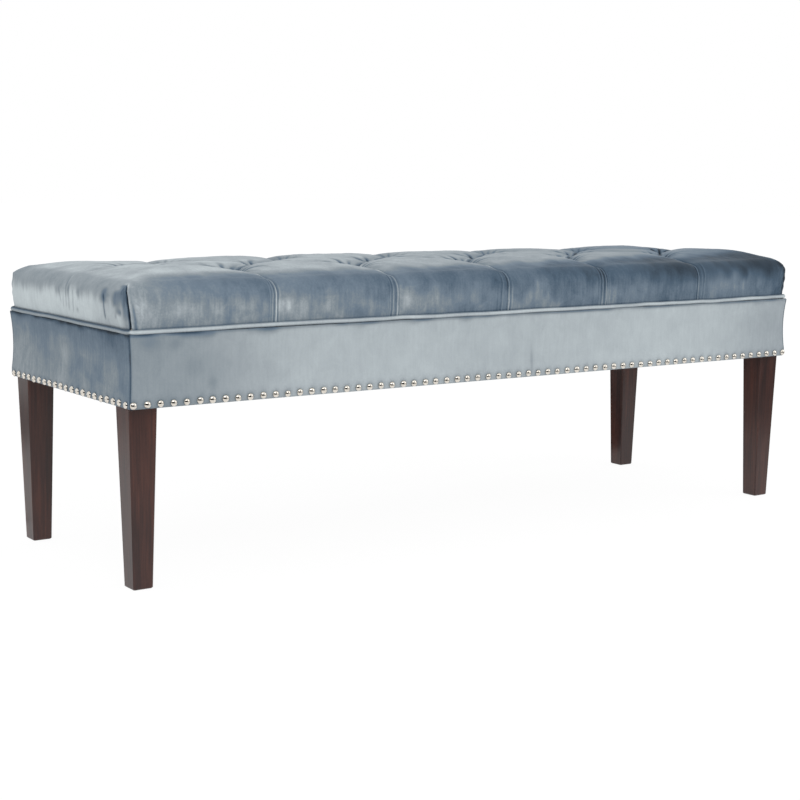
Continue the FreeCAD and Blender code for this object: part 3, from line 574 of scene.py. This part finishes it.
def makeSeatCover():
    cloth = layCloth()
    u, v, rho = cloth.u, cloth.v, cloth.rho
    gathered, foldHeight, foldShadeAndHighlight = foldLines(cloth)
    tuftAway, slits, pits = tuftMarks(cloth)
    swell, distance = puffHeight(cloth, gathered, tuftAway)
    dartHeight, dartShadeAndHighlight, fromDart = cornerDart(cloth)
    markHeight, markShade = leftEndMarks(cloth)
    # the cloth is never even: 60 mm sags and smaller ripples
    calm = cover["calm"] * softStep(cover["side"] - cover["calmRun"], cover["side"], cloth.down)
    uneven = waver(u, v, cover["sags"]) * (1 - calm)
    offset = swell + foldHeight - comb["depth"] * slits + pits + uneven + dartHeight + markHeight
    points = cloth.base + cloth.normal * offset[..., None]

    front, end = pileToneAndLight(cloth, distance)
    turn = blend(cloth.ay - cloth.ax, fromDart, softStep(*turning["dartAt"], rho))
    width = turning["slow"] - turning["sooner"] * softStep(*turning["soonerAt"], rho)
    onLong = softStep(-1, 1, turn / width)
    # painted shade and highlights of folds, dart and marks are laid into the pile's tone here
    napAndShade = blend(end, front, onLong) + foldShadeAndHighlight + dartShadeAndHighlight + markShade
    napAndShade -= comb["shade"] * slits + tufts["pitShade"] * bump(tuftAway, tufts["shadeWidth"])
    napAndShade -= turning["rightCornerDark"] * (u > 0) * bump(cloth.across, turning["rightCornerWidth"]) * softStep(*turning["rightCornerAt"], rho)
    overEdge = softStep(*brushed["overEdge"], rho)
    brush = brushed["top"] + overEdge * blend(brushed["ends"], brushed["longSides"], onLong)
    brush -= brushed["rightLess"] * softStep(*brushed["rightAt"], u) * (1 - softStep(*brushed["sideAt"], rho))

    rows, count = u.shape
    flat = points.reshape(-1, 3).tolist()
    napAndShade = np.clip(napAndShade, 0, 1).reshape(-1).tolist()
    brush = brush.reshape(-1).tolist()
    faces = gridFaces(rows, count)
    # hem under the seat, then a flat bottom that closes the cover
    grid = np.arange(rows * count).reshape(rows, count)
    border = np.concatenate([grid[:, 0], grid[-1, 1:], grid[-2::-1, -1], grid[0, -2:0:-1]]).tolist()
    first, n = len(flat), len(border)
    for index in border:
        bx, by, bz = flat[index]
        flat.append((bx * cover["hemX"], by * cover["hemY"], bz))
    faces += [(border[(k + 1) % n], border[k], first + k, first + (k + 1) % n) for k in range(n)]
    faces.append(tuple(range(first + n - 1, first - 1, -1)))
    napAndShade += [0.2] * n
    brush += [0.5] * n
    piece = meshPiece("tuftedSeatCover", flat, faces, velvet, napAndShade, brush)
    seat(piece, "tufted_seat_cover")
    print("seat cover,", len(flat), "points")


makeSeatCover()


# covered buttons at the bottoms of the tufts
button = {"radius": 10.2, "floor": 443.2, "sides": 20, "tilt": 0.06, "tone": 0.44,
          "rings": ((0.86, 0.0), (1.0, 0.6), (1.02, 1.6), (0.95, 3.2), (0.80, 4.8), (0.55, 6.2), (0.25, 6.9))}


def makeButtons():
    points, faces, napAndShade = [], [], []
    rings, sides = button["rings"], button["sides"]
    random = np.random.default_rng(21)
    for tx, ty in tuftPlaces:
        first = len(points)
        tiltX, tiltY = random.uniform(-button["tilt"], button["tilt"], 2)
        for share, height in rings:
            for k in range(sides):
                a = 2 * math.pi * k / sides
                r = button["radius"] * share * (1 + 0.012 * math.cos(5 * a + first))
                x, y = r * math.cos(a), r * math.sin(a)
                points.append((tx + x, ty + y, button["floor"] + height + tiltX * x + tiltY * y))
                napAndShade.append(button["tone"] + 0.1 * math.sin(a + 1))
        faces += ringFaces(first, len(rings), sides)
        faces.append(tuple(range(first + sides - 1, first - 1, -1)))
        crown = first + (len(rings) - 1) * sides
        faces.append(tuple(range(crown, crown + sides)))
    seat(meshPiece("coveredButtons", points, faces, velvet, napAndShade, [0.4] * len(napAndShade)), "tuft_buttons")
    print("buttons made")


makeButtons()


# velvet-covered cord between seat and apron
piping = {"x": 684.3, "y": 226.3, "z": 386.2, "radius": 3.6, "flat": 0.95, "corner": 14.0, "step": 3.0, "sides": 14,
          "wave": ((0.8, 90, 41, 1), (0.45, 33, 42, 1)), "sway": ((0.4, 60, 43, 1),), "swell": 0.035, "brush": 0.25,
          "longTone": 0.86, "endTone": 0.74}


def makePiping():
    # centre line, walked once round from the front left corner
    x, y, r = piping["x"], piping["y"], piping["corner"]
    line = []
    for cx, cy, start in ((x - r, -y + r, -90), (x - r, y - r, 0), (-x + r, y - r, 90), (-x + r, -y + r, 180)):
        for k in range(9):
            a = math.radians(start + 90 * k / 8)
            line.append((cx + r * math.cos(a), cy + r * math.sin(a)))
    line = np.array(line + line[:1])
    lengths = np.concatenate([[0], np.cumsum(np.hypot(*np.diff(line, axis=0).T))])
    count = int(lengths[-1] / piping["step"])
    s = np.linspace(0, lengths[-1], count, endpoint=False)
    cx, cy = np.interp(s, lengths, line[:, 0]), np.interp(s, lengths, line[:, 1])
    tangent = np.stack([np.roll(cx, -1) - np.roll(cx, 1), np.roll(cy, -1) - np.roll(cy, 1)], -1)
    tangent /= np.linalg.norm(tangent, axis=1, keepdims=True)
    outX, outY = tangent[:, 1], -tangent[:, 0]
    wave, sway = waver(cx, cy, piping["wave"]), waver(cx, cy, piping["sway"])
    points, napAndShade = [], []
    for i in range(count):
        r = piping["radius"] * (1 + piping["swell"] * math.sin(s[i] * 0.9 + 2 * math.sin(s[i] * 0.07)))
        onLong = abs(outY[i]) > 0.7
        for k in range(piping["sides"]):
            a = 2 * math.pi * k / piping["sides"]
            out, up = math.cos(a), math.sin(a)
            points.append((cx[i] + outX[i] * (r * out + sway[i]), cy[i] + outY[i] * (r * out + sway[i]),
                           piping["z"] + wave[i] + piping["flat"] * r * up))
            if onLong:  # pale in the middle, partly its pile and partly a painted highlight, with painted shade where it meets seat and apron
                napAndShade.append(piping["longTone"] - 0.9 * max(0.0, abs(up) - 0.6) + 0.05 * drift(cx[i], cy[i], 60, 44))
            else:  # on the ends painted shade over the top and under the bottom, leaving a pale painted highlight below the middle
                napAndShade.append(piping["endTone"] - 0.62 * max(0.0, min(1.0, 2.4 * up - 0.7)) - 0.6 * max(0.0, -up - 0.85))
    faces = [tuple(i % len(points) for i in face) for face in gridFaces(count + 1, piping["sides"], True)]
    seat(meshPiece("velvetPiping", points, faces, velvet, napAndShade, [piping["brush"]] * len(napAndShade)), "piping_cord")
    print("piping made,", count, "stations")


makePiping()


# apron panels, hollow between their top edge and the nailed strip
apron = {"length": 685.0, "depth": 227.0, "bottom": 273.0, "top": 382.6, "waist": 3.0, "waistZ": 323.0,
         "stripZ": 287.0, "strip": 0.6, "corner": 4.0, "thick": 5.0, "under": 20.0, "wrap": 3.0, "faceDepth": 6.7,
         "step": 4.0, "fineStep": 1.2, "fineWidth": 14, "sag": 0.45, "sagCell": 75, "ripple": 0.22, "rippleCell": 24,
         "wave": 0.35, "waveRate": 0.075, "waveAt": (360, 384), "seamSink": 1.2, "seamShade": 0.38, "seamWidth": 2.2,
         "nailSink": 0.7, "sinkWidth": 7.5, "nailShade": 0.16, "shadeWidth": 7.0, "topShade": 0.24, "topVaries": 0.18,
         "topAt": (376.5, 380.5), "pipingShadow": 0.17, "pipingShadowAt": (0.35, 0.8), "longBrush": 0.70, "endBrush": 0.22,
         "tone": 0.65, "calmBottom": (0, 14), "calmTop": (0, 12), "calmEnd": (0, 18), "waveEnd": (0, 30)}
# the front's tone rises and falls along x by share, start and end; darker patches on it: strength, x, z and widths
frontTones = ((0.18, -690, -330), (0.03, 0, 400), (-0.11, 450, 690))
darkPatches = ((0.10, -650, 370, 19.2, 12), (0.06, -575, 330, 16, 16), (0.08, -548, 306, 9, 10.8), (0.07, -610, 366, 9, 9),
           (0.10, 62, 300, 3.0, 22))
nails = {"radius": 5.4, "height": 4.0, "pitch": 21.5, "rise": 6.5, "margin": 6.2, "endMargin": 13.5, "sides": 16,
         "wanderX": 0.8, "wanderZ": 0.5, "smallest": 0.96, "largest": 1.04, "tilt": 0.09, "sunk": 0.1,
         "rings": ((1.0, 0.0), (1.01, 0.7), (0.96, 1.35), (0.88, 2.0), (0.76, 2.6), (0.59, 3.2), (0.38, 3.7),
                   (0.17, 3.93))}


def nailPlaces(halfRun):
    span = 2 * (halfRun - nails["margin" if halfRun > 400 else "endMargin"])
    gaps = round(span / nails["pitch"])
    return [-span / 2 + i * span / gaps for i in range(gaps + 1)]


def apronProfile():
    # (depth behind the apron's face, height), round the panel's section from its top edge
    a = apron
    rows = [(a["thick"], a["top"]), (2.2, a["top"]), (0.9, a["top"] - 0.3), (0.25, a["top"] - 1.0)]
    p0, p1, p2 = [np.array(p) for p in ((0.0, a["top"] - 2.0), (a["waist"], a["waistZ"]), (a["strip"], a["stripZ"]))]
    # hollow face on a circle through these three points
    chords = np.array([p1, p2]) - p0
    centre = np.linalg.solve(2 * chords, [p1 @ p1 - p0 @ p0, p2 @ p2 - p0 @ p0])
    radius = np.linalg.norm(p0 - centre)
    side = math.copysign(1, p0[0] - centre[0])
    for height in np.linspace(p0[1], p2[1], 30):
        rows.append((centre[0] + side * math.sqrt(max(radius ** 2 - (height - centre[1]) ** 2, 0)), height))
    for height in np.linspace(a["stripZ"], a["bottom"] + a["corner"], 5)[1:]:
        rows.append((a["strip"], height))
    for k in range(1, 6):
        t = math.radians(90 * k / 5)
        rows.append((a["strip"] + a["corner"] * (1 - math.cos(t)), a["bottom"] + a["corner"] * (1 - math.sin(t))))
    rows += [(13.0, a["bottom"]), (a["under"], a["bottom"])]
    rows += [(a["under"], a["bottom"] + a["wrap"]), (a["thick"], a["bottom"] + a["wrap"])]
    return rows


def makeApronPanel(name, node, halfRun, reach, turn, toneOf, seed):
    profile = np.array(apronProfile())
    shares = stations(1.0, apron["step"] / halfRun, apron["fineStep"] / halfRun, apron["fineWidth"] / halfRun, (-1, 1))
    behind, height = profile[:, 0][None, :], profile[:, 1][None, :]
    x = shares[:, None] * (halfRun - behind)
    z = np.repeat(height, len(shares), 0)
    face = ((behind < apron["faceDepth"]) & (height > apron["bottom"]) & (height < apron["top"] - 0.1)).astype(float)
    face = np.repeat(face, len(shares), 0)
    fromEnd, fromTop, fromBottom = halfRun - behind - np.abs(x), apron["top"] - z, z - apron["bottom"]
    push = waver(x, z, [(apron["sag"], apron["sagCell"], seed, 1), (apron["ripple"], apron["rippleCell"], seed + 1, 1)])
    push *= softStep(*apron["calmBottom"], fromBottom) * softStep(*apron["calmTop"], fromTop)
    push *= softStep(*apron["calmEnd"], fromEnd)
    wave = apron["wave"] * np.sin(x * apron["waveRate"] + 3 * drift(x, z, 140, seed + 2))
    push += wave * softStep(*apron["waveAt"], z) * softStep(*apron["waveEnd"], fromEnd)
    push -= apron["seamSink"] * bump(fromEnd, apron["seamWidth"])  # the corner seam sinks into the padding
    shade = apron["topShade"] + apron["topVaries"] * drift(x, z, 26, seed + 3)
    napAndShade = toneOf(x, z) - softStep(*apron["topAt"], z) * shade
    # painted shadow under the piping, broken into patches
    napAndShade -= apron["pipingShadow"] * bump(z - 378.5, 5) * softStep(*apron["pipingShadowAt"], drift(x, z * 0, 34, seed + 4))
    napAndShade -= apron["seamShade"] * bump(fromEnd, apron["seamWidth"])
    for place in nailPlaces(halfRun):
        fromNail = np.hypot(x - place, fromBottom - nails["rise"])
        push -= apron["nailSink"] * bump(fromNail, apron["sinkWidth"])
        napAndShade -= apron["nailShade"] * bump(fromNail, apron["shadeWidth"])
    y = behind - push * face - reach
    c, s = math.cos(math.radians(turn)), math.sin(math.radians(turn))
    points = np.stack([x * c - y * s, x * s + y * c, z], -1)
    rows, count = x.shape
    faces = gridFaces(rows, count, True)
    faces.append(tuple(range(count)))
    faces.append(tuple(range(rows * count - 1, (rows - 1) * count - 1, -1)))
    brush = np.full(rows * count, apron["longBrush" if reach > 400 else "endBrush"])
    faces = [face[::-1] for face in faces]
    piece = meshPiece(name, points.reshape(-1, 3), faces, velvet, np.clip(napAndShade, 0, 1).reshape(-1), brush)
    seat(piece, node)


def frontTone(x, z):
    tone = apron["tone"] + sum(share * softStep(start, end, x) for share, start, end in frontTones)
    for strength, placeX, placeZ, widthX, widthZ in darkPatches:
        tone = tone - strength * bump(x - placeX, widthX) * bump(z - placeZ, widthZ)
    return tone + 0.02 * drift(x, z, 130, 51)


def endTone(x, z):
    tone = tableAt(z, ((273, 0.68), (300, 0.62), (335, 0.60), (372, 0.44), (384, 0.36))) - 0.06 * softStep(60, 200, x)
    return tone + waver(x, z, ((0.07, 26, 52, 0.3), (0.06, 60, 53, 1)))


def makeNails(name, node, halfRun, reach, turn, seed, zigzag):
    random = np.random.default_rng(seed)
    rings, sides = nails["rings"], nails["sides"]
    points, faces = [], []
    c, s = math.cos(math.radians(turn)), math.sin(math.radians(turn))
    places = nailPlaces(halfRun)
    for index, place in enumerate(places):
        dx = random.uniform(-nails["wanderX"], nails["wanderX"])
        dz = random.uniform(-nails["wanderZ"], nails["wanderZ"]) + zigzag * (1 if index % 2 else -1)
        radius = nails["radius"] * random.uniform(nails["smallest"], nails["largest"])
        tiltX, tiltZ = random.uniform(-nails["tilt"], nails["tilt"], 2)
        if index in (0, len(places) - 1):
            dx = 0.0
        first = len(points)
        for share, height in rings + ((0.0, nails["height"]),):
            for k in range(sides if share else 1):
                a = 2 * math.pi * k / sides
                px, pz = radius * share * math.cos(a), radius * share * math.sin(a)
                out = height + tiltX * px + tiltZ * pz - nails["sunk"]
                x, y = place + dx + px, -(reach - apron["strip"]) - max(out, 0.0)
                points.append((x * c - y * s, x * s + y * c, apron["bottom"] + nails["rise"] + dz + pz))
        faces += ringFaces(first, len(rings), sides)
        tip = len(points) - 1
        faces += [(tip - sides + k, tip - sides + (k + 1) % sides, tip) for k in range(sides)]
        faces.append(tuple(range(first + sides - 1, first - 1, -1)))
    seat(meshPiece(name, points, faces, polishedNickel), node)


# side, half its run, reach out to its face, turn about Z, tone, seeds, and zigzag of its nails
apronSides = (("Front", apron["length"], apron["depth"], 0, frontTone, 60, 101, 0.0),
              ("Back", apron["length"], apron["depth"], 180, frontTone, 70, 102, 0.0),
              ("Left", apron["depth"], apron["length"], -90, endTone, 80, 103, 0.4),
              ("Right", apron["depth"], apron["length"], 90, endTone, 90, 104, 0.4))
for side, halfRun, reach, turn, toneOf, seed, nailSeed, zigzag in apronSides:
    makeApronPanel("apronPanel" + side, "apron_panel_" + side.lower(), halfRun, reach, turn, toneOf, seed)
    makeNails("nails" + side, "apron_nails_" + side.lower(), halfRun, reach, turn, nailSeed, zigzag)
print("apron panels and nails made")


# dust cover under the frame: along x and y the legs' inner faces, staples, edge, and lines between the legs
dust = {"x": (633.2, 653, 673, 106), "y": (166.9, 191, 215, 29), "top": 272.9, "thick": 0.8, "sag": 3.5,
        "ripples": ((0.7, 90, 61, 1), (0.4, 26, 62, 1)), "taut": (645, 60, 195, 50)}


def makeDustCover():
    lines = []
    for leg, staple, edge, count in (dust["x"], dust["y"]):
        lines.append(np.concatenate([[-edge, -staple], np.linspace(-leg, leg, count), [staple, edge]]))
    x, y = np.meshgrid(*lines, indexing="ij")
    legX, legY = dust["x"][0], dust["y"][0]
    tautX, runX, tautY, runY = dust["taut"]  # it sags inside the staples
    inner = softStep(0, runX, tautX - np.abs(x)) * softStep(0, runY, tautY - np.abs(y))
    z = dust["top"] - (dust["sag"] + waver(x, y, dust["ripples"])) * inner
    rows, count = x.shape
    faces = []  # none where the legs stand
    for face in gridFaces(rows, count):
        if np.mean([abs(x.flat[i]) for i in face]) < legX or np.mean([abs(y.flat[i]) for i in face]) < legY:
            faces.append(face)
    used = sorted({i for face in faces for i in face})
    order = {old: new for new, old in enumerate(used)}
    points = np.stack([x, y, z], -1).reshape(-1, 3)[used]
    piece = meshPiece("dustCover", points, [tuple(order[i] for i in face) for face in faces], blackCambric)
    thick = piece.modifiers.new("thick", "SOLIDIFY")
    thick.thickness = dust["thick"] * 0.001
    thick.offset = -1
    bpy.context.view_layer.objects.active = piece
    piece.select_set(True)
    bpy.ops.object.modifier_apply(modifier="thick")
    piece.select_set(False)
    seat(piece, "dust_cover")
    print("dust cover made")


makeDustCover()


# finishes of the CAD pieces that stay
finishes = {"leg_": legWood, "corner_block_screws": zincSteel, "corner_block_": sawnPine, "leg_hanger_bolts": zincSteel,
            "leg_threaded_inserts": zincSteel, "rail_": sawnPine, "cross_brace_": sawnPine, "seat_deck": birchPlywood,
            "foam_block": foam, "batting_wrap": wadding, "tufting_twines": waxedTwine, "tufting_toggles": birchPlywood,
            "apron_padding_": wadding, "dust_cover_staples": zincSteel}


def finishNodes():
    for name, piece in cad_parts.items():
        keys = [key for key in finishes if name.startswith(key)]
        material = finishes[max(keys, key=len)] if keys else velvet
        piece.data.materials.clear()
        piece.data.materials.append(material)


finishNodes()
print("CAD pieces finished")


# floor, lights and cards in metres: place, what they face, size
studio = {"floor": 30.0, "world": 0.75, "floorGlow": 1.05, "glowShare": 0.9}
lamps = {"keyLamp": ((-1.6, -2.6, 2.6), (0, 0, 0.35), (1.6, 1.2), 22),
         "fillLamp": ((2.6, -1.8, 1.8), (0.2, 0, 0.35), (1.5, 1.5), 8)}
flags = {"frontFlag": ((-1.3, -2.1, 0.68), (0, 0, 0.3), (5.0, 1.6)),
         "frontFloorFlag": ((0.3, -2.9, 0.01), (0.3, -2.9, 1), (7.0, 3.2)),
         "rightFloorFlag": ((2.2, -1.2, 0.01), (2.2, -1.2, 1), (2.6, 1.2)),
         "rearFloorFlag": ((-1.0, 1.23, 0.01), (-1.0, 1.23, 1), (5.0, 0.56)),
         "underFloorFlag": ((0.05, 0.62, 0.01), (0.05, 0.62, 1), (1.5, 0.7))}


def seenShare(tree):
    # 1 for what the camera sees, straight or mirrored
    path = addNode(tree, "LightPath").outputs
    rays = {0: path["Is Camera Ray"], 1: path["Is Glossy Ray"]}
    return addNode(tree, "Math", {"operation": "MAXIMUM"}, None, rays).outputs[0]


def makeStudio():
    bpy.ops.mesh.primitive_plane_add(size=studio["floor"])
    floor = bpy.context.object
    floor.name = "paleFloor"
    floor.location = (0, 6, 0)
    material, tree, shader = newMaterial("paleStudioFloor")
    setInputs(shader, {"Base Color": linearColour("#f4f4f4"), "Roughness": 0.9})
    seen = seenShare(tree)
    share = addNode(tree, "Math", {"operation": "MULTIPLY"}, {1: studio["glowShare"]}, {0: seen}).outputs[0]
    glow = addNode(tree, "Emission", None, {"Strength": studio["floorGlow"]}).outputs[0]
    mix = addNode(tree, "MixShader", None, None, {0: share, 1: shader.outputs[0], 2: glow}).outputs[0]
    # from below the floor is clear, so the bench's underside can be looked at
    below = addNode(tree, "NewGeometry").outputs["Backfacing"]
    clear = addNode(tree, "BsdfTransparent").outputs[0]
    oneSided = addNode(tree, "MixShader", None, None, {0: below, 1: mix, 2: clear}).outputs[0]
    tree.links.new(oneSided, tree.nodes["Material Output"].inputs["Surface"])
    floor.data.materials.append(material)

    world = bpy.data.worlds.new("studioWorld")
    bpy.context.scene.world = world
    world.use_nodes = True
    tree = world.node_tree
    background = tree.nodes["Background"]
    levels = {"To Min": studio["world"], "To Max": 1.0}
    strength = addNode(tree, "MapRange", None, levels, {"Value": seenShare(tree)}).outputs[0]
    tree.links.new(strength, background.inputs["Strength"])
    setInputs(background, {"Color": (1, 1, 1, 1)})


def aim(piece, place, target, axis):
    piece.location = place
    piece.rotation_euler = (Vector(target) - Vector(place)).to_track_quat(axis, "Y").to_euler()


def addLamp(name, place, target, size, energy):
    data = bpy.data.lights.new(name, "AREA")
    data.shape = "RECTANGLE"
    data.size, data.size_y = size
    data.energy = energy
    aim(newObject(name, data), place, target, "-Z")


def addFlag(name, place, target, size):
    # dark card that only reflections see, as a studio puts up to give metal and lacquer their dark parts
    bpy.ops.mesh.primitive_plane_add(size=1)
    flag = bpy.context.object
    flag.name = name
    flag.scale = (size[0], size[1], 1)
    aim(flag, place, target, "Z")
    material, _, shader = newMaterial("blackFlagCloth")
    setInputs(shader, {"Base Color": linearColour("#080808"), "Roughness": 1.0})
    flag.data.materials.append(material)
    flag.visible_camera = flag.visible_diffuse = flag.visible_shadow = flag.visible_transmission = False


def makeCamera():
    # found from the photograph's corners: place in metres, turns in radians, lens and sensor in mm
    shot = {"place": (-1.6872, -2.3499, 0.6280), "yaw": 0.6076, "pitch": 0.1438, "roll": 0.0100,
            "lens": 73.19, "sensor": 36.0}
    data = bpy.data.cameras.new("shotCamera")
    data.lens, data.sensor_width = shot["lens"], shot["sensor"]
    camera = newObject("shotCamera", data)
    turned = Matrix.Rotation(-shot["yaw"], 4, "Z") @ Matrix.Rotation(math.pi / 2 - shot["pitch"], 4, "X")
    camera.matrix_world = Matrix.Translation(shot["place"]) @ turned @ Matrix.Rotation(shot["roll"], 4, "Z")
    bpy.context.scene.camera = camera


makeStudio()
for name, lamp in lamps.items():
    addLamp(name, *lamp)
for name, flag in flags.items():
    addFlag(name, *flag)
makeCamera()
bpy.context.scene.view_settings.view_transform = "Standard"
print("studio, lamps and camera set")
